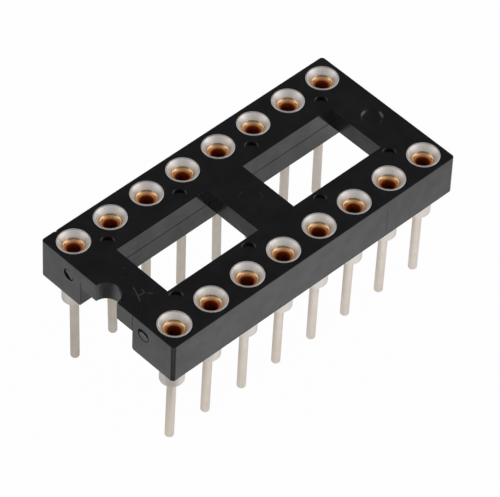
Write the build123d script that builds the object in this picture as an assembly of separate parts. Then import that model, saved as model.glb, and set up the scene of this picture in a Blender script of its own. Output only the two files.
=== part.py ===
from build123d import *
import math
import os

# Dual in-line socket with turned contacts: 2 x 8 contacts on a 2.54 mm grid.
# Origin: centre of the contact pattern, on the board's surface (the plane under the
# contact shoulders). +Z points up out of the board, +X runs along the rows, and the
# pin 1 notch is at the -X end. All lengths are in millimetres.

# Grid of the contacts
CONTACTS_PER_ROW = 8
PITCH = 2.54
ROW_SPACING = 7.62

# Moulded insulator: two deep rails joined by three shallow cross bars
SEATED_HEIGHT = 4.15  # board to the top face
RAIL_DEPTH = 2.55
BAR_DEPTH = 1.20
END_MARGIN = 1.17  # end contact axis to the end face
OUTER_MARGIN = 1.20  # contact row to the long outer face
INNER_MARGIN = 1.89  # contact row to the window wall
CENTRE_BAR_WIDTH = 2.54
END_BAR_WIDTH = 2.44
NOTCH_RADIUS = 0.78
CORNER_ROUND = 0.20  # the four upright outer corners
EDGE_CHAMFER = 0.05  # the outer rim of the top face
UNDER_ROUND = 0.15  # the rails' lower inner edges
WEB_ROUND = 0.10  # where a bar's underside meets a rail
PARTING_STEP = 0.03  # the lower mould half is this much wider between the rails
GATE_DIAMETER = 0.80  # the two round gate recesses on the notched end
GATE_DEPTH = 0.10
GATE_BELOW_TOP = 0.85
GATE_INSET = 0.98  # from the contact row towards the centre line

# Turned contact sleeve
HEAD_DIAMETER = 1.80
HEAD_HEIGHT = 0.75
RIM_PROUD = 0.05  # the rim stands this far above the plastic
RIM_LAND = 0.10
FUNNEL_DEPTH = 0.40
BARREL_DIAMETER = 1.34
SLEEVE_BORE_DIAMETER = 1.11
SLEEVE_FLOOR = 0.55  # solid metal between the bore and the shoulder
TAIL_DIAMETER = 0.50
TAIL_LENGTH = 4.60
PRESS_GAP = 0.005  # radial, wherever metal is pressed into its seat

# Rolled spring clip: a faceted collar with fingers that close towards the axis
COLLAR_SIDES = 12
COLLAR_LENGTH = 0.62
CLIP_WALL = 0.13
FINGER_COUNT = 4
FINGER_LENGTH = 1.75
FINGER_WIDTH = 0.25
THROAT_DIAMETER = 0.38  # between the relaxed finger tips

# Worked out from the sizes above
TOP_Z = SEATED_HEIGHT
RIM_Z = TOP_Z + RIM_PROUD
RAIL_BOTTOM_Z = TOP_Z - RAIL_DEPTH
BAR_BOTTOM_Z = TOP_Z - BAR_DEPTH
HEAD_SEAT_Z = RIM_Z - HEAD_HEIGHT
FUNNEL_FOOT_Z = RIM_Z - FUNNEL_DEPTH
BODY_LENGTH = (CONTACTS_PER_ROW - 1) * PITCH + 2 * END_MARGIN
BODY_WIDTH = ROW_SPACING + 2 * OUTER_MARGIN
WINDOW_LENGTH = (BODY_LENGTH - CENTRE_BAR_WIDTH - 2 * END_BAR_WIDTH) / 2
WINDOW_WIDTH = ROW_SPACING - 2 * INNER_MARGIN
WINDOW_X = (CENTRE_BAR_WIDTH + WINDOW_LENGTH) / 2
HEAD_RADIUS = HEAD_DIAMETER / 2
MOUTH_RADIUS = HEAD_RADIUS - RIM_LAND
BARREL_RADIUS = BARREL_DIAMETER / 2
SLEEVE_BORE_RADIUS = SLEEVE_BORE_DIAMETER / 2
TAIL_RADIUS = TAIL_DIAMETER / 2


def contact_places():
    """Axes in pin order: along the -Y row from the notch, then back along the +Y row."""
    xs = [(i - (CONTACTS_PER_ROW - 1) / 2) * PITCH for i in range(CONTACTS_PER_ROW)]
    front = [(x, -ROW_SPACING / 2) for x in xs]
    back = [(x, ROW_SPACING / 2) for x in reversed(xs)]
    return front + back


def block_between(half_length, half_width, low_z, high_z):
    """A block centred on the Z axis, from one height to another."""
    middle = Pos(0, 0, (low_z + high_z) / 2)
    return middle * Box(2 * half_length, 2 * half_width, high_z - low_z)


def turned(points):
    """A solid of revolution about Z from a closed outline of (radius, height) points."""
    outline = Polyline(*[(r, 0, z) for r, z in points], close=True)
    return revolve(make_face(outline), Axis.Z)


def rails_and_bars():
    """The outer block with the long channel under the bars and its rounded edges."""
    half_length = BODY_LENGTH / 2
    block = block_between(half_length, BODY_WIDTH / 2, RAIL_BOTTOM_Z, TOP_Z)
    block = fillet(block.edges().filter_by(Axis.Z), CORNER_ROUND)
    channel_half = WINDOW_WIDTH / 2 + PARTING_STEP
    block -= block_between(half_length, channel_half, RAIL_BOTTOM_Z, BAR_BOTTOM_Z)
    lengthwise = block.edges().filter_by(Axis.X).group_by(Axis.Z)
    block = fillet(lengthwise[1], WEB_ROUND)
    lowest = block.edges().filter_by(Axis.X).group_by(Axis.Z)[0]
    inner = lowest.filter_by(lambda edge: abs(edge.center().Y) < ROW_SPACING / 2)
    return fillet(inner, UNDER_ROUND)


def windows():
    """The two openings between the cross bars."""
    window = block_between(WINDOW_LENGTH / 2, WINDOW_WIDTH / 2, RAIL_BOTTOM_Z, TOP_Z)
    return [Pos(side * WINDOW_X, 0, 0) * window for side in (-1, 1)]


def notch():
    """The half-round pin 1 mark through the end bar."""
    middle = Pos(-BODY_LENGTH / 2, 0, (BAR_BOTTOM_Z + TOP_Z) / 2)
    return middle * Cylinder(NOTCH_RADIUS, BAR_DEPTH)


def gate_recess(side):
    """A shallow round recess in the notched end, where the plastic was fed in."""
    y = side * (ROW_SPACING / 2 - GATE_INSET)
    face = Plane(origin=(-BODY_LENGTH / 2, y, TOP_Z - GATE_BELOW_TOP), z_dir=(1, 0, 0))
    return extrude(face * Circle(GATE_DIAMETER / 2), GATE_DEPTH)


def contact_seat():
    """The stepped hole that one sleeve is pressed into."""
    head = HEAD_RADIUS + PRESS_GAP
    barrel = BARREL_RADIUS + PRESS_GAP
    return turned(
        [
            (0, RAIL_BOTTOM_Z),
            (barrel, RAIL_BOTTOM_Z),
            (barrel, HEAD_SEAT_Z),
            (head, HEAD_SEAT_Z),
            (head, TOP_Z),
            (0, TOP_Z),
        ]
    )


def insulator():
    """The one-piece moulding."""
    body = rails_and_bars() - windows() - notch()
    top_face = body.faces().sort_by(Axis.Z)[-1]
    body = chamfer(top_face.outer_wire().edges(), EDGE_CHAMFER)
    body -= [gate_recess(side) for side in (-1, 1)]
    seat = contact_seat()
    body -= [Pos(x, y, 0) * seat for x, y in contact_places()]
    return body


def contact_sleeve():
    """One turned sleeve on the Z axis: funnel, head, barrel, shoulder and solder tail."""
    return turned(
        [
            (0, -TAIL_LENGTH),
            (TAIL_RADIUS, -TAIL_LENGTH),
            (TAIL_RADIUS, 0),
            (BARREL_RADIUS, 0),
            (BARREL_RADIUS, HEAD_SEAT_Z),
            (HEAD_RADIUS, HEAD_SEAT_Z),
            (HEAD_RADIUS, RIM_Z),
            (MOUTH_RADIUS, RIM_Z),
            (SLEEVE_BORE_RADIUS, FUNNEL_FOOT_Z),
            (SLEEVE_BORE_RADIUS, SLEEVE_FLOOR),
            (0, SLEEVE_FLOOR),
        ]
    )


def facet_prism(radius):
    """A many-sided prism as long as the collar, with flat sides across the X and Y axes."""
    outline = RegularPolygon(radius, COLLAR_SIDES, rotation=180 / COLLAR_SIDES)
    return extrude(Plane.XY.offset(FUNNEL_FOOT_Z) * outline, -COLLAR_LENGTH)


def spring_clip():
    """One clip on the Z axis: a collar in the top of the bore and four fingers below it."""
    outer = SLEEVE_BORE_RADIUS - PRESS_GAP
    side_middle = outer * math.cos(math.pi / COLLAR_SIDES)
    throat = THROAT_DIAMETER / 2
    foot_z = FUNNEL_FOOT_Z - COLLAR_LENGTH
    tip_z = foot_z - FINGER_LENGTH
    leaf_outline = Polyline(
        (side_middle, 0, foot_z),
        (side_middle - CLIP_WALL, 0, foot_z),
        (throat, 0, tip_z),
        (throat + CLIP_WALL, 0, tip_z),
        close=True,
    )
    leaf = extrude(make_face(leaf_outline), FINGER_WIDTH / 2, both=True)
    collar = facet_prism(outer) - facet_prism(outer - CLIP_WALL)
    turn = 360 / FINGER_COUNT
    return collar + [Rot(0, 0, turn * i) * leaf for i in range(FINGER_COUNT)]


def write(shape, node):
    """One STEP file for one named piece."""
    export_step(shape, f"parts/{node}.step")


def main():
    """Write the moulding, then a sleeve and its clip for every contact in pin order."""
    os.makedirs("parts", exist_ok=True)
    write(insulator(), "insulator_frame")
    sleeve = contact_sleeve()
    clip = spring_clip()
    for number, (x, y) in enumerate(contact_places(), start=1):
        write(Pos(x, y, 0) * sleeve, f"contact_sleeve_{number:02d}")
        write(Pos(x, y, 0) * clip, f"contact_clip_{number:02d}")


main()
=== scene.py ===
"""Dressed model of a dual in-line socket with turned contacts.

A black moulded ladder frame carries sixteen turned sleeves, and a gold-plated spring clip sits in the
mouth of each sleeve. Sizes in the classes are in millimetres. Finished pieces are in metres, in the
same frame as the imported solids.
"""

import logging
import math
import random
from collections.abc import Callable
from dataclasses import dataclass, field
from enum import Enum

import bpy
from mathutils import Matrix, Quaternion, Vector

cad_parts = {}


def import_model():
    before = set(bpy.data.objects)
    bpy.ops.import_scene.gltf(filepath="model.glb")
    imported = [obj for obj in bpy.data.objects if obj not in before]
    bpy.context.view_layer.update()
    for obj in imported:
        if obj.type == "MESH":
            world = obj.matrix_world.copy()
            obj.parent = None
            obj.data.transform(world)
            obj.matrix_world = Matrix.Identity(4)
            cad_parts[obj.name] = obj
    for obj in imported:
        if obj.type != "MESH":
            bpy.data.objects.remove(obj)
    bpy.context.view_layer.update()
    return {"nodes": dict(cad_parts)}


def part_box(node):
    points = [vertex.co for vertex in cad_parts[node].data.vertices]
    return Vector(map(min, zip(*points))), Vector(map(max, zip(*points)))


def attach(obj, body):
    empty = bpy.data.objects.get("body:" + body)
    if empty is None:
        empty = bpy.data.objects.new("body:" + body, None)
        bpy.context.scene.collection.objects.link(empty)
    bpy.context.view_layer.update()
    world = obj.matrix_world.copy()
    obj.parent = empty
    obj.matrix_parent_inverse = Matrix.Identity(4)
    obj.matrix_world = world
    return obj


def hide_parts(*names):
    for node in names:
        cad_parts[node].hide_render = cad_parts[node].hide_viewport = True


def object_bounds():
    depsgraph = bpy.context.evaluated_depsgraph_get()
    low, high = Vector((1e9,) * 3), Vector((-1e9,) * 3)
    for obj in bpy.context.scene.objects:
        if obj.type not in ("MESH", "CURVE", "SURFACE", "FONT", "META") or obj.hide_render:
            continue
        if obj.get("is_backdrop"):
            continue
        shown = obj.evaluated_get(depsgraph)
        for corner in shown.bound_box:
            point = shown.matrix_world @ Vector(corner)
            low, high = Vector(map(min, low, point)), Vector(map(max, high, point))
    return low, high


MM = 0.001
BODY = "root"
BEYOND = 1.0  # how far a cutter reaches past what it cuts
TOUCH = 1e-4  # points this close lie in one place
MERGE = 1e-6  # rings this close become one
WELD = 2e-3  # points this close become one after a rounding
SHARP = 32  # edges that turn by more than these degrees stay sharp
STRONG_FACES = 100  # the weight at which large faces keep their own normals
MIX_COLOURS = (6, 7)  # the Mix node's inputs for colours
MIX_RESULT = 2  # its output for a colour
log = logging.getLogger("socket")

Number = float | int
Pair = tuple[float, float]
Point = tuple[float, float, float]
Stroke = tuple[float, float, float, float]
Band = tuple[float, float, float, float]
EdgeTest = Callable[[bpy.types.Mesh, bpy.types.MeshEdge], bool]


class Boolean(Enum):
    """What a tool does to a body, by the name that the Boolean modifier has for it."""

    CUT = "DIFFERENCE"
    ADD = "UNION"


class Ray(Enum):
    """The rays that see the studio in their own way, by their names in the Light Path node."""

    CAMERA = "Is Camera Ray"
    GLOSSY = "Is Glossy Ray"
    TRANSMISSION = "Is Transmission Ray"


def only(piece: bpy.types.Object) -> None:
    """Select one object and make it the active one."""
    bpy.ops.object.select_all(action="DESELECT")
    piece.select_set(True)
    bpy.context.view_layer.objects.active = piece


def fix_place() -> None:
    """Put the selected objects' places, turns and sizes into their meshes."""
    bpy.ops.object.transform_apply(location=True, rotation=True, scale=True)


def leave_edit() -> None:
    """Go back to object mode."""
    bpy.ops.object.mode_set(mode="OBJECT")


def pick(piece: bpy.types.Object, test: EdgeTest) -> None:
    """Go to edit mode with the edges that pass a test selected.

    Args:
        piece: the mesh to edit.
        test: takes the mesh and one edge, and says whether it is wanted.
    """
    only(piece)
    bpy.ops.object.mode_set(mode="EDIT")
    bpy.ops.mesh.select_mode(type="EDGE")
    bpy.ops.mesh.select_all(action="DESELECT")
    leave_edit()
    for edge in piece.data.edges:
        edge.select = test(piece.data, edge)
    bpy.ops.object.mode_set(mode="EDIT")


def ends(mesh: bpy.types.Mesh, edge: bpy.types.MeshEdge) -> tuple[Vector, Vector]:
    """Return the places of an edge's two ends."""
    start, end = edge.vertices
    return mesh.vertices[start].co, mesh.vertices[end].co


def block(low: Point, high: Point) -> bpy.types.Object:
    """Add a block.

    Args:
        low: its lowest corner.
        high: its highest corner.

    Returns:
        The block, with its place in its mesh.
    """
    bpy.ops.object.select_all(action="DESELECT")
    middle = [(a + b) / 2 for a, b in zip(low, high)]
    size = [b - a for a, b in zip(low, high)]
    bpy.ops.mesh.primitive_cube_add(size=1, location=middle, scale=size)
    fix_place()
    return bpy.context.object


def rod(radius: float, length: float, middle: Point, along_x: bool = False, tip: float | None = None,
        sides: int = 64) -> bpy.types.Object:
    """Add a round rod or a cone's slice.

    Args:
        radius: its radius, at its low end where the ends differ.
        length: its length.
        middle: its centre.
        along_x: whether it lies along X. It stands along Z otherwise.
        tip: the radius of its high end, where that differs.
        sides: how many sides its circle has.

    Returns:
        The rod, with its place in its mesh.
    """
    bpy.ops.object.select_all(action="DESELECT")
    turn = (0, math.pi / 2, 0) if along_x else (0, 0, 0)
    bpy.ops.mesh.primitive_cone_add(
        vertices=sides, radius1=radius, radius2=radius if tip is None else tip, depth=length,
        location=middle, rotation=turn)
    fix_place()
    return bpy.context.object


def join(pieces: list[bpy.types.Object]) -> bpy.types.Object:
    """Join separate meshes into one object and return it."""
    only(pieces[0])
    for piece in pieces[1:]:
        piece.select_set(True)
    bpy.ops.object.join()
    return pieces[0]


def combine(body: bpy.types.Object, tool: bpy.types.Object, operation: Boolean = Boolean.CUT) -> None:
    """Cut a tool from a body, or join it on, and remove the tool.

    Args:
        body: the mesh that changes.
        tool: the mesh that is cut away or joined on.
        operation: which of the two it is.
    """
    only(body)
    modifier = body.modifiers.new("shape", "BOOLEAN")
    modifier.operation = operation.value
    modifier.solver = "EXACT"
    modifier.object = tool
    bpy.ops.object.modifier_apply(modifier=modifier.name)
    bpy.data.objects.remove(tool)


def smooth(piece: bpy.types.Object, angle: float, weighted: bool = False) -> None:
    """Shade a mesh smooth, apart from its sharp edges.

    Args:
        piece: the mesh.
        angle: edges that turn by more than these degrees stay sharp.
        weighted: whether large flat faces keep their own normals.
    """
    only(piece)
    bpy.ops.object.shade_smooth_by_angle(angle=math.radians(angle))
    if weighted:
        modifier = piece.modifiers.new("flats", "WEIGHTED_NORMAL")
        modifier.keep_sharp = True
        modifier.weight = STRONG_FACES
        bpy.ops.object.modifier_apply(modifier=modifier.name)


def to_metres(piece: bpy.types.Object) -> None:
    """Shrink a finished mesh from millimetres to metres about the origin."""
    only(piece)
    bpy.ops.transform.resize(value=(MM, MM, MM), center_override=(0, 0, 0))
    fix_place()


def turned_shell(rings: list[Pair], sides: int) -> bpy.types.Object:
    """Draw a closed turned solid ring by ring, each one pulled out of the one before.

    Args:
        rings: the radius and height of each ring, in order along the surface. The first and last
            rings are filled, or joined where they are the same.
        sides: how many sides each ring has.

    Returns:
        The solid, standing on the Z axis.
    """
    bpy.ops.object.select_all(action="DESELECT")
    radius, height = rings[0]
    bpy.ops.mesh.primitive_circle_add(
        vertices=sides, radius=radius, location=(0, 0, height), fill_type="NOTHING")
    fix_place()
    bpy.ops.object.mode_set(mode="EDIT")
    bpy.ops.mesh.select_all(action="SELECT")
    for next_radius, next_height in rings[1:]:
        rise = (0, 0, next_height - height)
        bpy.ops.mesh.extrude_region_move(TRANSFORM_OT_translate={"value": rise})
        ratio = next_radius / radius
        bpy.ops.transform.resize(value=(ratio, ratio, 1), center_override=(0, 0, next_height))
        radius, height = next_radius, next_height
    bpy.ops.mesh.select_all(action="SELECT")
    bpy.ops.mesh.remove_doubles(threshold=MERGE)
    bpy.ops.mesh.fill_holes(sides=0)
    bpy.ops.mesh.normals_make_consistent(inside=False)
    leave_edit()
    return bpy.context.object


def arc(centre: Pair, size: float, start: float, end: float, steps: int) -> list[Pair]:
    """Work out the rings of a rounded edge.

    Args:
        centre: the radius and height of the curve's centre.
        size: the curve's own radius.
        start: the first point's angle in degrees, from the outward radius.
        end: the last point's angle in degrees.
        steps: how many runs the curve has.

    Returns:
        The radius and height of each point.
    """
    angles = [math.radians(start + (end - start) * i / steps) for i in range(steps + 1)]
    return [(centre[0] + size * math.cos(a), centre[1] + size * math.sin(a)) for a in angles]


class Value:
    """A shader socket that takes part in Python expressions."""

    def __init__(self, shader: "Shader", socket: bpy.types.NodeSocket) -> None:
        """Wrap one output socket of a shader's node."""
        self.shader = shader
        self.socket = socket

    def math(self, operation: str, *operands: "Value | Number") -> "Value":
        """Add a Math node.

        Args:
            operation: the node's operation.
            operands: its inputs, in order.

        Returns:
            The node's result.
        """
        return self.shader.value("Math", dict(enumerate(operands)), operation=operation)

    def of(self, operation: str, *operands: "Value | Number") -> "Value":
        """Apply an operation whose first input is this value."""
        return self.math(operation, self, *operands)

    def __add__(self, other: "Value | Number") -> "Value":
        """Add a value or a number."""
        return self.math("ADD", self, other)

    def __radd__(self, other: Number) -> "Value":
        """Be added to a number."""
        return self.math("ADD", other, self)

    def __sub__(self, other: "Value | Number") -> "Value":
        """Subtract a value or a number."""
        return self.math("SUBTRACT", self, other)

    def __rsub__(self, other: Number) -> "Value":
        """Be subtracted from a number."""
        return self.math("SUBTRACT", other, self)

    def __mul__(self, other: "Value | Number") -> "Value":
        """Multiply by a value or a number."""
        return self.math("MULTIPLY", self, other)

    def __rmul__(self, other: Number) -> "Value":
        """Be multiplied by a number."""
        return self.math("MULTIPLY", other, self)

    def __truediv__(self, other: "Value | Number") -> "Value":
        """Divide by a value or a number."""
        return self.math("DIVIDE", self, other)

    def band(self, low: Number, high: Number, start: Number = 0, end: Number = 1) -> "Value":
        """Spread a range of this value over another one, smoothly and without going past its ends."""
        inputs = {"Value": self, "From Min": low, "From Max": high, "To Min": start, "To Max": end}
        return self.shader.value("MapRange", inputs, interpolation_type="SMOOTHSTEP")


class Shader:
    """One node tree, filled by Python expressions."""

    def __init__(self, tree: bpy.types.NodeTree) -> None:
        """Start an empty tree."""
        self.tree = tree
        tree.nodes.clear()

    def node(self, kind: str, inputs: dict | None = None, **settings: object) -> bpy.types.Node:
        """Add any node.

        Args:
            kind: the node's type, without the words that all types begin with.
            inputs: a value, link or number for each input, by the input's name or place.
            settings: the node's own settings, which are set first.

        Returns:
            The node.
        """
        node = self.tree.nodes.new(f"ShaderNode{kind}")
        for name, setting in settings.items():
            setattr(node, name, setting)
        for name, value in (inputs or {}).items():
            if isinstance(value, Value):
                self.tree.links.new(value.socket, node.inputs[name])
            else:
                node.inputs[name].default_value = value
        return node

    def value(self, kind: str, inputs: dict | None = None, out: int | str = 0, **settings: object) -> Value:
        """Add a node and return one of its outputs."""
        return Value(self, self.node(kind, inputs, **settings).outputs[out])

    def place(self) -> Value:
        """Return the point's place on the object."""
        return self.value("TexCoord", out="Object")

    def axes(self, place: Value) -> list[Value]:
        """Split a place into its three coordinates, in millimetres."""
        split = self.node("SeparateXYZ", {0: place})
        return [Value(self, socket) * (1 / MM) for socket in split.outputs]

    def point(self, x: Value | Number, y: Value | Number, z: Value | Number) -> Value:
        """Make a place from three coordinates."""
        return self.value("CombineXYZ", {"X": x, "Y": y, "Z": z})

    def noise(self, place: Value, scale: float, detail: float = 3, distortion: float = 0) -> Value:
        """Return soft random patches from 0 to 1."""
        inputs = {"Vector": place, "Scale": scale, "Detail": detail, "Distortion": distortion}
        return self.value("TexNoise", inputs)

    def blend(self, amount: Value, first: "Value | Point", second: "Value | Point") -> Value:
        """Go from one colour to another as an amount goes from 0 to 1."""
        inputs = {"Factor": amount}
        for slot, colour in zip(MIX_COLOURS, (first, second)):
            inputs[slot] = colour if isinstance(colour, Value) else (*colour, 1)
        return self.value("Mix", inputs, out=MIX_RESULT, data_type="RGBA")

    def bump(self, height: Value, depth: float) -> Value:
        """Return normals for a relief, with its depth in millimetres."""
        return self.value("Bump", {"Height": height, "Distance": depth * MM})

    def finish(self, kind: str, inputs: dict) -> None:
        """End the tree with a surface shader."""
        surface = self.value(kind, inputs)
        self.node("OutputMaterial", {"Surface": surface})


def new_material(name: str) -> tuple[bpy.types.Material, Shader]:
    """Make an empty material and its shader."""
    material = bpy.data.materials.new(name)
    material.use_nodes = True
    return material, Shader(material.node_tree)


@dataclass(frozen=True)
class ContactGrid:
    """The places of the contacts, for patterns that go round each one."""

    pitch: float = 2.54
    row: float = 3.81
    row_number: float = 20  # keeps the two rows' numbers apart

    def around(self, shader: Shader) -> tuple[Value, Value, Value, Value]:
        """Measure from the nearest contact's axis.

        Args:
            shader: the tree that the nodes are added to.

        Returns:
            The radius, the angle from -1 to 1 half turn, the height, and a number for the contact.
        """
        x, y, z = shader.axes(shader.place())
        cell = (x / self.pitch).of("FLOOR")
        side = y.of("SIGN")
        local_x = x - (cell + 0.5) * self.pitch
        local_y = y - side * self.row
        radius = (local_x * local_x + local_y * local_y).of("SQRT")
        angle = local_y.of("ARCTAN2", local_x) * (1 / math.pi)
        return radius, angle, z, cell + side * self.row_number


@dataclass(frozen=True)
class MouldedPlastic:
    """Glossy black glass-filled plastic with faint flow marks, dust, scuffs, and a painted glint along a
    broken gate stub's ridge.
    """

    dark: Point = (0.0018, 0.0018, 0.0036)
    light: Point = (0.0034, 0.0033, 0.0052)
    dust: Point = (0.085, 0.085, 0.090)
    # painted glint: a pale colour that stands for a highlight on the broken gate stub's ridge
    ridge_glint: Point = (0.42, 0.42, 0.42)
    index: float = 1.57
    roughness: Pair = (0.16, 0.22)
    flow: float = 1.8
    flow_curl: float = 0.8
    flow_tones: Pair = (0.35, 0.75)
    flow_sheen: Pair = (0.3, 0.7)
    flow_depth: float = 0.002
    grain: float = 0.06
    grain_depth: float = 0.0005
    grain_dulling: float = 0.05
    gloss_patch: float = 0.8
    gloss_split: Pair = (0.36, 0.64)
    gloss_change: float = 0.16
    coat_roughness: float = 0.25
    dust_spacing: float = 0.45
    dust_speck: Pair = (0.07, 0.02)
    dust_above: float = 0.94
    mark_dulling: float = 0.2
    spark_below: float = 2.98
    spark_dulling: float = 0.08
    window_wall: Pair = (7.66, 1.97)
    top: float = 4.15
    scuff_width: float = 0.045
    scuff_depth: float = 0.05
    scuff_patch: float = 0.12
    scuff_breaks: Band = (0.30, 0.55, 0.35, 1)
    scuffs: tuple[Stroke, ...] = (
        (-8.75, -0.59, -8.96, -1.19), (-8.96, -1.19, -9.10, -1.47), (-9.09, -1.45, -9.11, -1.49),
        (-8.89, -1.18, -8.56, -1.21), (-8.56, -1.21, -8.50, -1.00), (-8.44, -1.36, -8.30, -1.51),
        (-8.74, 0.30, -8.74, 0.32), (-8.17, 0.71, -8.17, 0.73))
    # where the painted glint runs on the notched end, as Y and Z of its start and end
    ridge: Stroke = (-2.62, 3.37, -2.95, 3.33)
    ridge_width: float = 0.035
    ridge_before: float = -9.855

    def material(self) -> bpy.types.Material:
        """Build the material."""
        made, shader = new_material("moulded_black_plastic")
        place = shader.place()
        x, y, z = shader.axes(place)
        flow = shader.noise(place, 1 / (self.flow * MM), detail=4, distortion=self.flow_curl)
        grain = shader.noise(place, 1 / (self.grain * MM), detail=2)
        patches = shader.noise(place, 1 / (self.gloss_patch * MM), detail=4)
        dust = self.dust_specks(shader, place)
        scuffs = self.scuffed(shader, place, x, y, z)
        # painted glint: a pale stroke along the ridge of the broken stub in the -Y gate, in place of a
        # highlight
        ridge_glint = self.stroke(y, z, self.ridge, self.ridge_width) * x.of("LESS_THAN", self.ridge_before)
        spark = self.sparked(x, y, z)
        colour = shader.blend(flow.band(*self.flow_tones), self.dark, self.light)
        colour = shader.blend(dust.of("MAXIMUM", scuffs), colour, self.dust)
        # the painted glint laid over the plastic's own colour
        colour = shader.blend(ridge_glint, colour, self.ridge_glint)
        rough = flow.band(*self.flow_sheen, *self.roughness) + (dust + scuffs) * self.mark_dulling
        rough = rough + (grain - 0.5) * self.grain_dulling + spark * self.spark_dulling
        relief = grain * (spark + 1) * self.grain_depth + flow * self.flow_depth
        shader.finish("BsdfPrincipled", {
            "Base Color": colour, "Roughness": rough, "IOR": self.index,
            "Coat Weight": patches.band(*self.gloss_split, 0, self.gloss_change),
            "Coat Roughness": self.coat_roughness, "Normal": shader.bump(relief, 1.0)})
        return made

    def dust_specks(self, shader: Shader, place: Value) -> Value:
        """Return a few small dots."""
        cells = shader.node("TexVoronoi", {"Vector": place, "Scale": 1 / (self.dust_spacing * MM)})
        near = Value(shader, cells.outputs["Distance"]).band(*self.dust_speck)
        lot = shader.value("SeparateColor", {0: Value(shader, cells.outputs["Color"])})
        return near * lot.of("GREATER_THAN", self.dust_above)

    @staticmethod
    def stroke(across: Value, up: Value, line: Stroke, width: float) -> Value:
        """Return 1 along a short straight stroke, and 0 away from it.

        Args:
            across: the first coordinate on the face.
            up: the second coordinate on the face.
            line: both coordinates of the stroke's start, then of its end.
            width: half the stroke's width.

        Returns:
            The stroke, with soft sides.
        """
        start_across, start_up, end_across, end_up = line
        run = (end_across - start_across, end_up - start_up)
        length = math.hypot(*run)
        from_start = across - start_across, up - start_up
        along = from_start[0] * (run[0] / length ** 2) + from_start[1] * (run[1] / length ** 2)
        along = along.of("MAXIMUM", 0).of("MINIMUM", 1)
        off_across = from_start[0] - along * run[0]
        off_up = from_start[1] - along * run[1]
        distance = (off_across * off_across + off_up * off_up).of("SQRT")
        return distance.band(width, 0)

    def scuffed(self, shader: Shader, place: Value, x: Value, y: Value, z: Value) -> Value:
        """Return the scuffs in the top face beside the notch."""
        marks = self.stroke(x, y, self.scuffs[0], self.scuff_width)
        for line in self.scuffs[1:]:
            marks = marks.of("MAXIMUM", self.stroke(x, y, line, self.scuff_width))
        broken = shader.noise(place, 1 / (self.scuff_patch * MM), detail=1).band(*self.scuff_breaks)
        return marks * broken * z.of("GREATER_THAN", self.top - self.scuff_depth)

    def sparked(self, x: Value, y: Value, z: Value) -> Value:
        """Return 1 on the duller lower band of the window walls, and 0 elsewhere."""
        along, across = self.window_wall
        inside = x.of("ABSOLUTE").of("LESS_THAN", along) * y.of("ABSOLUTE").of("LESS_THAN", across)
        return inside * z.of("LESS_THAN", self.spark_below)


@dataclass(frozen=True)
class TinPlate:
    """Satin tin plate on turned brass, with the tool's faint rings and soft streaks."""

    pale: Point = (0.86, 0.825, 0.80)
    warm: Point = (0.80, 0.745, 0.70)
    tail_pale: Point = (0.86, 0.795, 0.735)
    tail_warm: Point = (0.79, 0.70, 0.60)
    tail_below: float = 0.3
    tones: Pair = (0.5, 1.1)
    sheen: Pair = (0.6, 1.4)
    roughness: Pair = (0.38, 0.46)
    mottle: float = 0.6
    streak_scale: Point = (16, 3.7, 0.3)
    streak_share: float = 0.6
    ring: float = 0.05
    ring_share: float = 0.5
    relief: float = 0.0003
    grid: ContactGrid = field(default_factory=ContactGrid)

    def material(self) -> bpy.types.Material:
        """Build the material."""
        made, shader = new_material("tin_plate")
        radius, angle, height, contact = self.grid.around(shader)
        rings_at = shader.point((radius + height) / self.ring, contact, 0)
        rings = shader.noise(rings_at, 1.0, detail=1)
        turn, step, rise = self.streak_scale
        streaks_at = shader.point(angle.of("ABSOLUTE") * turn, contact * step, height * rise)
        streaks = shader.noise(streaks_at, 1.0, detail=1)
        mottle = shader.noise(shader.place(), 1 / (self.mottle * MM), detail=3)
        tone = (mottle + streaks * self.streak_share).band(*self.tones)
        colour = shader.blend(tone, self.warm, self.pale)
        tail = shader.blend(tone, self.tail_warm, self.tail_pale)
        colour = shader.blend(height.band(self.tail_below, -self.tail_below), colour, tail)
        shader.finish("BsdfPrincipled", {
            "Base Color": colour, "Metallic": 1.0,
            "Roughness": (mottle + streaks).band(*self.sheen, *self.roughness),
            "Normal": shader.bump(rings * self.ring_share + streaks, self.relief)})
        return made


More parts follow.
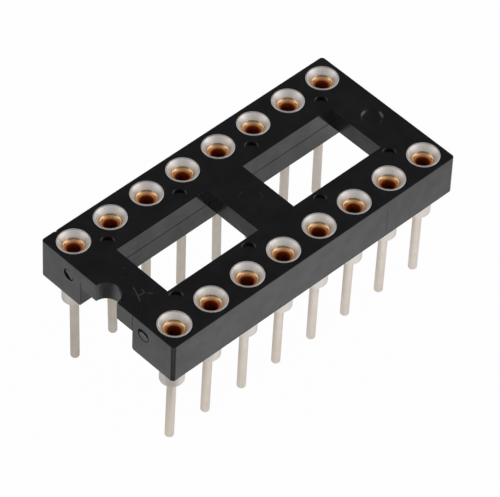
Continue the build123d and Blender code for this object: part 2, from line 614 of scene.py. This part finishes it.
@dataclass(frozen=True)
class GoldPlate:
    """Gold plate on a drawn spring clip, with painted shade that turns it redder and darker down inside it,
    where it is also rougher.
    """

    bright: Point = (0.95, 0.63, 0.35)
    deep: Point = (0.92, 0.57, 0.29)
    # painted shade: inside and lowest are the redder and darker colours that stand for the shade down
    # inside the clip
    inside: Point = (0.95, 0.37, 0.12)
    lowest: Point = (0.62, 0.22, 0.10)
    tones: Pair = (0.3, 0.62)
    sheen: Pair = (0.3, 0.7)
    roughness: Pair = (0.22, 0.29)
    inside_roughness: float = 0.5
    # the heights over which the painted shade takes over, in millimetres
    inside_shade_from: Pair = (3.80, 3.62)
    deepest_shade_from: Pair = (3.62, 3.30)
    mottle: float = 0.2
    mottle_share: float = 0.4
    strip_scale: Point = (14, 2.3, 0.8)
    strip_share: float = 0.6
    relief: float = 0.0003
    grid: ContactGrid = field(default_factory=ContactGrid)

    def material(self) -> bpy.types.Material:
        """Build the material."""
        made, shader = new_material("gold_plate")
        _, angle, height, contact = self.grid.around(shader)
        turn, step, rise = self.strip_scale
        strips_at = shader.point(angle.of("ABSOLUTE") * turn, contact * step, height * rise)
        strips = shader.noise(strips_at, 1.0, detail=2)
        mottle = shader.noise(shader.place(), 1 / (self.mottle * MM), detail=2)
        # painted shade: 0 at the lip, 1 down inside the clip
        depth = height.band(*self.inside_shade_from)
        tone = (strips * self.strip_share + mottle * self.mottle_share).band(*self.tones)
        colour = shader.blend(depth, shader.blend(tone, self.deep, self.bright), self.inside)
        # painted shade: darkest at the bottom of the clip
        colour = shader.blend(height.band(*self.deepest_shade_from), colour, self.lowest)
        rough = mottle.band(*self.sheen, *self.roughness)
        relief = (strips + mottle * self.mottle_share) * (1 - depth)
        shader.finish("BsdfPrincipled", {
            "Base Color": colour, "Metallic": 1.0,
            "Roughness": rough + depth * (self.inside_roughness - rough),
            "Normal": shader.bump(relief, self.relief)})
        return made


@dataclass(frozen=True)
class Disc:
    """A circle on the notched end."""

    y: float
    z: float
    radius: float


@dataclass(frozen=True)
class Gate:
    """A round recess where the plastic was fed in, with a broken stub that a tear crosses."""

    recess: Disc
    stub: Disc
    tear: Disc
    tear_slope: float  # degrees


@dataclass(frozen=True)
class RoundMark:
    """A shallow round print of a mould pin in the top face, with a sloping wall."""

    x: float
    y: float
    radius: float = 0.35
    depth: float = 0.16
    slope: float = 0.02


@dataclass
class LadderFrame:
    """The black moulding: two rails, three cross bars, sixteen stepped seats and the pin 1 notch."""

    length: float = 20.12
    width: float = 10.02
    top: float = 4.15
    rail_depth: float = 2.55
    bar_depth: float = 1.20
    window_length: float = 6.35
    window_width: float = 3.84
    centre_bar: float = 2.54
    parting_step: float = 0.03
    notch_radius: float = 0.78
    corner: float = 0.20
    corner_steps: int = 6
    under_round: float = 0.15
    under_steps: int = 5
    web_round: float = 0.10
    web_steps: int = 4
    outer_round: float = 0.05
    outer_turn: float = 30  # degrees
    inner_round: float = 0.02
    inner_turn: float = 60  # degrees
    mould_steps: int = 3
    head_radius: float = 0.91
    head_seat: float = 0.72
    barrel_radius: float = 0.74
    gates: tuple[Gate, ...] = (
        Gate(Disc(2.87, 3.25, 0.37), Disc(2.84, 3.28, 0.30), Disc(3.05, 3.09, 0.17), 38),
        Gate(Disc(-2.78, 3.31, 0.41), Disc(-2.79, 3.30, 0.345), Disc(-2.74, 3.53, 0.16), 4))
    gate_depth: float = 0.09
    gate_draft: float = 0.015
    stub_gap: float = 0.01
    pin_marks: tuple[RoundMark, ...] = (
        RoundMark(-7.58, 2.66), RoundMark(-2.54, 2.66), RoundMark(2.60, 2.67), RoundMark(7.68, 2.64, 0.33),
        RoundMark(-7.52, -2.45), RoundMark(-2.47, -2.48, 0.36), RoundMark(2.66, -2.46, 0.33, 0.15),
        RoundMark(7.69, -2.48, 0.34),
        RoundMark(8.87, 0.0, 0.61, 0.10, 0.10), RoundMark(0.05, 0.0, 0.60, 0.006, 0.006))
    mark_edge: float = 0.026  # the slope round a deep print's rim
    groove: float = 0.045
    groove_depth: float = 0.035
    groove_z: float = 2.985
    flash: float = 0.035
    flash_depth: float = 0.02
    flash_top: tuple[Pair, ...] = ((-1, 4.10), (1, 3.37))
    notch_round: float = 0.05
    notch_steps: int = 4
    hole_sides: int = 96
    mark_sides: int = 48
    tear_sides: int = 24
    knit_x: float = 5.10
    knit_width: float = 0.035
    knit_depth: float = 0.008
    knit_z: Pair = (1.80, 3.55)
    chips: tuple[tuple[Point, float], ...] = (
        ((-9.92, -0.84, 4.17), 0.10), ((-10.05, -1.02, 4.14), 0.06), ((-10.06, -1.90, 2.94), 0.05),
        ((-9.06, 4.99, 4.17), 0.12), ((-9.20, 4.94, 4.17), 0.06))

    @property
    def bottom(self) -> float:
        """Return the height of the rails' feet."""
        return self.top - self.rail_depth

    @property
    def bar_foot(self) -> float:
        """Return the height of the cross bars' undersides."""
        return self.top - self.bar_depth

    @property
    def channel(self) -> float:
        """Return half the gap between the rails below the parting line."""
        return self.window_width / 2 + self.parting_step

    def build(self, places: list[Pair]) -> bpy.types.Object:
        """Model the moulding.

        Args:
            places: the contacts' axes, in millimetres.

        Returns:
            The finished mesh, in metres.
        """
        body = self.outer_form()
        self.cut_windows(body)
        combine(body, self.seats(places))
        self.cut_lines(body)
        self.mark_gates(body)
        self.mark_top(body)
        body.name = "ladder_frame_moulding"
        smooth(body, SHARP, weighted=True)
        to_metres(body)
        return body

    def outer_form(self) -> bpy.types.Object:
        """Model the outer block with the channel under the bars, and return it."""
        half_length = self.length / 2
        half_width = self.width / 2
        body = block((-half_length, -half_width, self.bottom), (half_length, half_width, self.top))
        self.round_edges(body, self.is_upright, self.corner, self.corner_steps)
        combine(body, block((-half_length - BEYOND, -self.channel, self.bottom - BEYOND),
                            (half_length + BEYOND, self.channel, self.bar_foot)))
        self.round_edges(body, self.is_rail_foot, self.under_round, self.under_steps)
        self.round_edges(body, self.is_web, self.web_round, self.web_steps)
        self.round_all(body, self.outer_round, self.outer_turn)
        return body

    def cut_windows(self, body: bpy.types.Object) -> None:
        """Cut the two windows and the notch, whose edges are crisper than the outer ones."""
        for low, high in self.window_spans():
            combine(body, block((low, -self.window_width / 2, self.bottom - BEYOND),
                                (high, self.window_width / 2, self.top + BEYOND)))
        middle = (-self.length / 2, 0, self.top)
        combine(body, rod(self.notch_radius, 2 * self.rail_depth, middle, sides=self.hole_sides))
        self.round_edges(body, self.is_notch_corner, self.notch_round, self.notch_steps)
        self.round_all(body, self.inner_round, self.inner_turn)

    def window_spans(self) -> tuple[Pair, Pair]:
        """Return where each window starts and ends along X."""
        near = self.centre_bar / 2
        far = near + self.window_length
        return (-far, -near), (near, far)

    @staticmethod
    def is_upright(mesh: bpy.types.Mesh, edge: bpy.types.MeshEdge) -> bool:
        """Say whether an edge stands straight up."""
        start, end = ends(mesh, edge)
        return (start - end).xy.length < TOUCH

    def is_rail_foot(self, mesh: bpy.types.Mesh, edge: bpy.types.MeshEdge) -> bool:
        """Say whether an edge is the lower inner edge of a rail."""
        return self.is_channel_edge(mesh, edge, self.bottom)

    def is_web(self, mesh: bpy.types.Mesh, edge: bpy.types.MeshEdge) -> bool:
        """Say whether an edge is where a bar's underside meets a rail."""
        return self.is_channel_edge(mesh, edge, self.bar_foot)

    def is_notch_corner(self, mesh: bpy.types.Mesh, edge: bpy.types.MeshEdge) -> bool:
        """Say whether an edge is where the notch meets the end face."""
        start, _ = ends(mesh, edge)
        on_notch = abs(abs(start.y) - self.notch_radius) < TOUCH
        on_face = abs(start.x + self.length / 2) < TOUCH
        return self.is_upright(mesh, edge) and on_notch and on_face

    def is_channel_edge(self, mesh: bpy.types.Mesh, edge: bpy.types.MeshEdge, height: float) -> bool:
        """Say whether an edge runs along the channel's wall at a height."""
        return all(abs(abs(point.y) - self.channel) < TOUCH and abs(point.z - height) < TOUCH
                   for point in ends(mesh, edge))

    @staticmethod
    def round_edges(body: bpy.types.Object, test: EdgeTest, radius: float, segments: int) -> None:
        """Round the edges that pass a test.

        Args:
            body: the mesh.
            test: takes the mesh and one edge, and says whether it is wanted.
            radius: the rounding's radius.
            segments: how many faces each rounding has.
        """
        pick(body, test)
        bpy.ops.mesh.bevel(offset=radius, segments=segments, affect="EDGES")
        leave_edit()

    def round_all(self, body: bpy.types.Object, radius: float, sharper: float) -> None:
        """Give sharp edges the small radius that a mould leaves, then weld what came out doubled.

        Args:
            body: the mesh.
            radius: the rounding's radius.
            sharper: edges that turn by more than these degrees are rounded.
        """
        only(body)
        modifier = body.modifiers.new("mould radius", "BEVEL")
        modifier.width = radius
        modifier.segments = self.mould_steps
        modifier.limit_method = "ANGLE"
        modifier.angle_limit = math.radians(sharper)
        bpy.ops.object.modifier_apply(modifier=modifier.name)
        pick(body, lambda mesh, edge: True)
        bpy.ops.mesh.remove_doubles(threshold=WELD)
        bpy.ops.mesh.dissolve_degenerate(threshold=WELD)
        leave_edit()

    def seats(self, places: list[Pair]) -> bpy.types.Object:
        """Model what the stepped holes take away, and return it."""
        cutters = []
        seat_z = self.top - self.head_seat
        for x, y in places:
            cutter = rod(self.barrel_radius, 3 * self.rail_depth, (x, y, self.top), sides=self.hole_sides)
            head = rod(self.head_radius, 2 * BEYOND, (x, y, seat_z + BEYOND), sides=self.hole_sides)
            combine(cutter, head, Boolean.ADD)
            cutters.append(cutter)
        return join(cutters)

    def cut_lines(self, body: bpy.types.Object) -> None:
        """Cut the parting line in the window walls, the flash lines in the ends and the knit line."""
        half_length = self.length / 2
        lines = []
        wall = self.window_width / 2 + self.groove_depth
        for low, high in self.window_spans():
            lines.append(block((low + self.inner_round, -wall, self.groove_z - self.groove / 2),
                               (high - self.inner_round, wall, self.groove_z + self.groove / 2)))
        for end in (-half_length, half_length):
            for side, top in self.flash_top:
                middle = side * self.channel
                lines.append(block(
                    (end - self.flash_depth, middle - self.flash / 2, self.bar_foot - BEYOND),
                    (end + self.flash_depth, middle + self.flash / 2, top)))
        side = -self.width / 2
        low, high = self.knit_z
        lines.append(block((self.knit_x, side - self.knit_depth, low),
                           (self.knit_x + self.knit_width, side + self.knit_depth, high)))
        for line in lines:
            combine(body, line)

    def mark_gates(self, body: bpy.types.Object) -> None:
        """Cut the round gate recesses in the notched end, each with its broken stub."""
        end = -self.length / 2
        height = 2 * self.gate_depth
        for gate in self.gates:
            recess = gate.recess
            combine(body, rod(recess.radius + self.gate_draft, height, (end, recess.y, recess.z),
                              along_x=True, tip=recess.radius - self.gate_draft))
            middle = (end + self.stub_gap + height / 2, gate.stub.y, gate.stub.z)
            stub = rod(gate.stub.radius, height, middle, along_x=True)
            combine(stub, self.tear(gate, end))
            combine(body, stub, Boolean.ADD)

    def tear(self, gate: Gate, end: float) -> bpy.types.Object:
        """Model what a broken gate stub lacks: a round groove that runs nearly along Y."""
        place = (end, gate.tear.y, gate.tear.z)
        groove = rod(gate.tear.radius, 2 * gate.recess.radius, place, sides=self.tear_sides)
        turn = math.radians(90 - gate.tear_slope)
        bpy.ops.transform.rotate(value=turn, orient_axis="X", center_override=place)
        fix_place()
        return groove

    def mark_top(self, body: bpy.types.Object) -> None:
        """Print the mould's pins into the top face, and chip its edges."""
        for mark in self.pin_marks:
            place = (mark.x, mark.y, self.top)
            combine(body, rod(mark.radius - mark.slope, 2 * mark.depth, place,
                              tip=mark.radius + mark.slope, sides=self.mark_sides))
            if mark.slope < self.mark_edge < mark.depth:
                combine(body, rod(mark.radius, 2 * self.mark_edge, place,
                                  tip=mark.radius + 2 * self.mark_edge, sides=self.mark_sides))
        for place, radius in self.chips:
            bpy.ops.object.select_all(action="DESELECT")
            bpy.ops.mesh.primitive_ico_sphere_add(subdivisions=1, radius=radius, location=place)
            fix_place()
            combine(body, bpy.context.object)


@dataclass
class ContactSleeve:
    """A turned sleeve: floor, bore, funnel, rim, head, barrel, shoulder and solder tail."""

    rim: float = 4.20
    head_radius: float = 0.90
    head_height: float = 0.75
    land: float = 0.10
    funnel_depth: float = 0.40
    bore_radius: float = 0.555
    floor: float = 0.55
    barrel_radius: float = 0.67
    tail_radius: float = 0.25
    tail_length: float = 4.60
    edge: float = 0.03
    edge_steps: int = 4
    mouth_from: float = 150  # degrees
    mouth_steps: int = 3
    tip: float = 0.11
    tip_to: float = -80  # degrees
    tip_steps: int = 5
    sides: int = 96

    def rings(self) -> list[Pair]:
        """Work out the rings from the bore's floor to the tail's tip."""
        mouth = self.head_radius - self.land
        seat = self.rim - self.head_height
        edge = self.edge
        steps = self.edge_steps
        tip = (self.tail_radius - self.tip, self.tip - self.tail_length)
        points = [(self.bore_radius, self.floor), (self.bore_radius, self.rim - self.funnel_depth)]
        points += arc((mouth + edge, self.rim - edge), edge, self.mouth_from, 90, self.mouth_steps)
        points += arc((self.head_radius - edge, self.rim - edge), edge, 90, 0, steps)
        points += [(self.head_radius, seat), (self.barrel_radius, seat)]
        points += arc((self.barrel_radius - edge, edge), edge, 0, -90, steps)
        points += arc((self.tail_radius + edge, -edge), edge, 90, 180, steps)
        points += arc(tip, self.tip, 0, self.tip_to, self.tip_steps)
        return points

    def build(self) -> bpy.types.Object:
        """Model one sleeve on the Z axis, in millimetres, and return it."""
        sleeve = turned_shell(self.rings(), self.sides)
        smooth(sleeve, SHARP)
        return sleeve


@dataclass
class SpringClip:
    """A drawn clip: a sloping flange, a collar and four fingers that close towards the axis."""

    flange: tuple[Pair, ...] = (
        (0.571, 3.838), (0.569, 3.850), (0.562, 3.856), (0.553, 3.853), (0.490, 3.783), (0.428, 3.712),
        (0.390, 3.665), (0.372, 3.635), (0.365, 3.600))
    seat: tuple[Pair, ...] = ((0.470, 3.66), (0.545, 3.66), (0.548, 3.785))
    sheet: float = 0.09
    collar_foot: float = 3.20
    finger_foot: float = 1.50
    throat: float = 0.19
    slot: float = 0.13
    finger_steps: int = 5
    sides: int = 96

    def rings(self) -> list[Pair]:
        """Work out the rings down the inside, round the finger tips and up the outside."""
        hole = self.flange[-1][0]
        inside = []
        for i in range(self.finger_steps + 1):
            share = i / self.finger_steps
            radius = hole + (self.throat - hole) * math.sin(share * math.pi / 2)
            inside.append((radius, self.collar_foot + (self.finger_foot - self.collar_foot) * share))
        outside = [(radius + self.sheet, height) for radius, height in reversed(inside)]
        return [*self.flange, *inside, *outside, *self.seat, self.flange[0]]

    def build(self) -> bpy.types.Object:
        """Model one clip on the Z axis, in millimetres, and return it."""
        clip = turned_shell(self.rings(), self.sides)
        low = self.finger_foot - BEYOND
        for along, across in ((BEYOND, self.slot / 2), (self.slot / 2, BEYOND)):
            combine(clip, block((-along, -across, low), (along, across, self.collar_foot)))
        smooth(clip, SHARP)
        return clip


@dataclass
class ContactSet:
    """All sleeves and clips: each is modelled once and copied to every place."""

    sleeve: ContactSleeve = field(default_factory=ContactSleeve)
    clip: SpringClip = field(default_factory=SpringClip)
    tin: TinPlate = field(default_factory=TinPlate)
    gold: GoldPlate = field(default_factory=GoldPlate)
    seed: int = 16
    leans: tuple[Pair, ...] = (
        (0, 0.17), (0, 0.18), (0, 0.10), (0, 0.14), (0.03, 0.13), (0, 0.13), (0, 0.13), (0, 0.07),
        (0, -0.05), (0, -0.07), (0, -0.10), (0.05, -0.13), (0, -0.10), (0, -0.10), (0.13, -0.14),
        (0, -0.12))

    def build(self, places: dict[str, Pair]) -> None:
        """Place every contact.

        Args:
            places: each contact's number, as in its node's name, and its axis in millimetres.
        """
        draw = random.Random(self.seed)
        kinds = (("contact_sleeve", "turned_sleeve", "tinned_sleeve", self.sleeve, self.tin),
                 ("contact_clip", "sprung_clip", "gold_clip", self.clip, self.gold))
        for node, name, slot, shape, finish in kinds:
            master = shape.build()
            master.data.materials.append(finish.material())
            for (number, place), lean in zip(places.items(), self.leans):
                copy = self.copy_to(master, place, draw.uniform(0, math.pi / 2), lean)
                copy.name = f"{name}_{number}"
                register(copy, f"{node}_{number}")
            bpy.data.objects.remove(master)

    def copy_to(self, master: bpy.types.Object, place: Pair, turn: float, lean: Pair) -> bpy.types.Object:
        """Copy a mesh to a contact's axis.

        Args:
            master: the mesh on the Z axis, in millimetres.
            place: the contact's axis, in millimetres.
            turn: how far the copy is turned about its axis, in radians.
            lean: how far the tail's tip stands off the axis along X and Y, in millimetres.

        Returns:
            The copy, in metres.
        """
        only(master)
        bpy.ops.object.duplicate(linked=False)
        copy = bpy.context.object
        rim = Vector((0, 0, self.sleeve.rim))
        reach = self.sleeve.rim + self.sleeve.tail_length
        lean_x, lean_y = (math.atan(off / reach) for off in lean)
        bpy.ops.transform.rotate(value=turn, orient_axis="Z", center_override=rim)
        bpy.ops.transform.rotate(value=-lean_y, orient_axis="X", center_override=rim)
        bpy.ops.transform.rotate(value=lean_x, orient_axis="Y", center_override=rim)
        bpy.ops.transform.translate(value=(*place, 0))
        to_metres(copy)
        return copy


def register(piece: bpy.types.Object, node: str) -> None:
    """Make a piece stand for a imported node, ride on the body and be named in the log."""
    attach(piece, BODY)
    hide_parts(node)
    log.info("%s stands for %s", piece.name, node)


@dataclass
class Studio:
    """The camera, the floor, and a light tent that is dim on the camera's side and overhead."""

    focal_pixels: float = 4119.5
    picture_width: float = 500
    sensor: float = 36
    clip_start: float = 0.01
    eye: Point = (-104.512, -103.235, 159.32)
    aim: Point = (-2.492, -2.599, 4.18)
    roll: float = 2.62
    floor_half: float = 3.0
    floor_white: float = 0.90
    floor_lift: float = 0.98
    mirror_lift: float = 0.57
    floor_dim: float = 0.15
    floor_fade: Pair = (10.3, 12.8)
    floor_return: float = 0.30
    floor_back: Pair = (14.5, 18)
    floor_middle: float = 3.5
    floor_sides: Band = (5, 18, 1.37, 0.95)
    under: Band = (2, 12, 0.52, 1)
    under_y: float = 3
    under_x: Pair = (10, 13.5)
    ceiling: float = 0.138
    wall_top: Pair = (0.66, 0.34)
    wall_sides: Pair = (0.85, 1.25)
    front_dim: float = 0.60
    front_fade: Pair = (0.35, 0.85)
    back_dim: float = 0.42
    back_fade: Pair = (-0.40, 0.20)
    lamp_size: float = 420
    lamps: tuple[tuple[str, Point, float], ...] = (
        ("left_lamp", (-115, 300, 240), 0.30), ("right_lamp", (300, -115, 240), 0.40))

    def build(self) -> None:
        """Set up everything round the object."""
        self.place_camera()
        self.lay_floor()
        self.light_world()
        for name, place, power in self.lamps:
            self.soft_box(name, place, power)

    def place_camera(self) -> None:
        """Put the camera at the photograph's viewpoint."""
        data = bpy.data.cameras.new("camera")
        data.sensor_fit = "HORIZONTAL"
        data.sensor_width = self.sensor
        data.lens = self.focal_pixels / self.picture_width * self.sensor
        data.clip_start = self.clip_start
        camera = bpy.data.objects.new("camera", data)
        bpy.context.collection.objects.link(camera)
        view = Vector(self.aim) - Vector(self.eye)
        camera.location = Vector(self.eye) * MM
        camera.rotation_mode = "QUATERNION"
        turn = Quaternion((0, 0, 1), math.radians(self.roll))
        camera.rotation_quaternion = view.to_track_quat("-Z", "Y") @ turn
        bpy.context.scene.camera = camera

    @staticmethod
    def ways(x: Value, y: Value) -> tuple[Value, Value]:
        """Turn X and Y into how far a place lies to the front left corner and to the front right one.

        Args:
            x: the place's X.
            y: the place's Y.

        Returns:
            The distance towards the photograph's viewer, and the distance to the viewer's right.
        """
        half = math.sqrt(0.5)
        return (x + y) * -half, (x - y) * half

    def lay_floor(self) -> None:
        """Lay the pale floor under the tails.

        The camera sees it nearly white, with a faint shadow. Glossy surfaces see it dimmer near the
        viewer, as paper is that the viewer shades.
        """
        low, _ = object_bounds()
        bpy.ops.object.select_all(action="DESELECT")
        bpy.ops.mesh.primitive_plane_add(size=2 * self.floor_half, location=(0, 0, low[2]))
        fix_place()
        floor = bpy.context.object
        floor.name = "studio_floor"
        material, shader = new_material("studio_floor")
        x, y, _ = shader.axes(shader.place())
        tone = self.floor_tone(x, y)
        path = shader.node("LightPath")
        camera, glossy, clear = (Value(shader, path.outputs[ray.value]) for ray in Ray)
        mirrored = glossy.of("MAXIMUM", clear)
        white = (self.floor_white,) * 3
        paint = shader.value("BsdfDiffuse", {"Color": (*white, 1)})
        glow = shader.value("Emission", {"Color": (1, 1, 1, 1), "Strength": camera + (1 - camera) * tone})
        share = camera * self.floor_lift + mirrored * self.mirror_lift
        shader.finish("MixShader", {0: share, 1: paint, 2: glow})
        floor.data.materials.append(material)
        floor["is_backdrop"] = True

    def floor_tone(self, x: Value, y: Value) -> Value:
        """Work out how bright mirroring surfaces see the floor.

        It is brightest between the object and the viewer's right, dim under the object, and dimmer
        still in the object's shadow towards the viewer.

        Args:
            x: the place's X.
            y: the place's Y.

        Returns:
            The brightness.
        """
        front, right = self.ways(x, y)
        sides = (right - self.floor_middle).of("ABSOLUTE").band(*self.floor_sides)
        shadow = front.band(*self.floor_fade, 1, self.floor_dim)
        shadow = shadow + front.band(*self.floor_back, 0, self.floor_return)
        under = (y - self.under_y).of("ABSOLUTE").band(*self.under)
        clear = x.of("ABSOLUTE").band(*self.under_x)
        return sides * shadow * under.of("MAXIMUM", clear)

    def light_world(self) -> None:
        """Surround the object with the tent's pale walls and dim ceiling."""
        world = bpy.data.worlds.new("studio")
        world.use_nodes = True
        bpy.context.scene.world = world
        shader = Shader(world.node_tree)
        split = shader.node("SeparateXYZ", {0: shader.value("TexCoord", out="Generated")})
        x, y, up = (Value(shader, socket) for socket in split.outputs)
        front, right = self.ways(x, y)
        wall = front.band(*self.front_fade, 1, self.front_dim) * right.band(-1, 1, *self.wall_sides)
        wall = wall * front.band(*self.back_fade, self.back_dim, 1)
        glow = wall * up.band(*self.wall_top) + self.ceiling
        camera = Value(shader, shader.node("LightPath").outputs[Ray.CAMERA.value])
        strength = camera + (1 - camera) * glow
        background = shader.value("Background", {"Color": (1, 1, 1, 1), "Strength": strength})
        shader.node("OutputWorld", {"Surface": background})

    def soft_box(self, name: str, place: Point, power: float) -> None:
        """Hang one large square lamp that faces the object.

        Args:
            name: the lamp's name.
            place: where it hangs, in millimetres.
            power: its power in watts.
        """
        data = bpy.data.lights.new(name, "AREA")
        data.size = self.lamp_size * MM
        data.energy = power
        lamp = bpy.data.objects.new(name, data)
        bpy.context.collection.objects.link(lamp)
        lamp.location = Vector(place) * MM
        lamp.rotation_mode = "QUATERNION"
        lamp.rotation_quaternion = (-Vector(place)).to_track_quat("-Z", "Y")


def contact_places(nodes: dict) -> dict[str, Pair]:
    """Read the contacts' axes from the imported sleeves.

    Args:
        nodes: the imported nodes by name.

    Returns:
        Each contact's number, as in its node's name, and its axis in millimetres.
    """
    places = {}
    for name in sorted(nodes):
        if name.startswith("contact_sleeve_"):
            low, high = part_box(name)
            places[name[-2:]] = tuple((low[i] + high[i]) / 2 / MM for i in (0, 1))
    return places


def main() -> None:
    """Build the camera and studio, then the moulding and the contacts."""
    logging.basicConfig(level=logging.INFO, format="%(message)s")
    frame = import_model()
    bpy.context.scene.view_settings.view_transform = "Standard"
    Studio().build()
    places = contact_places(frame["nodes"])
    moulding = LadderFrame().build(list(places.values()))
    moulding.data.materials.append(MouldedPlastic().material())
    register(moulding, "insulator_frame")
    ContactSet().build(places)


if __name__ == "__main__":
    main()
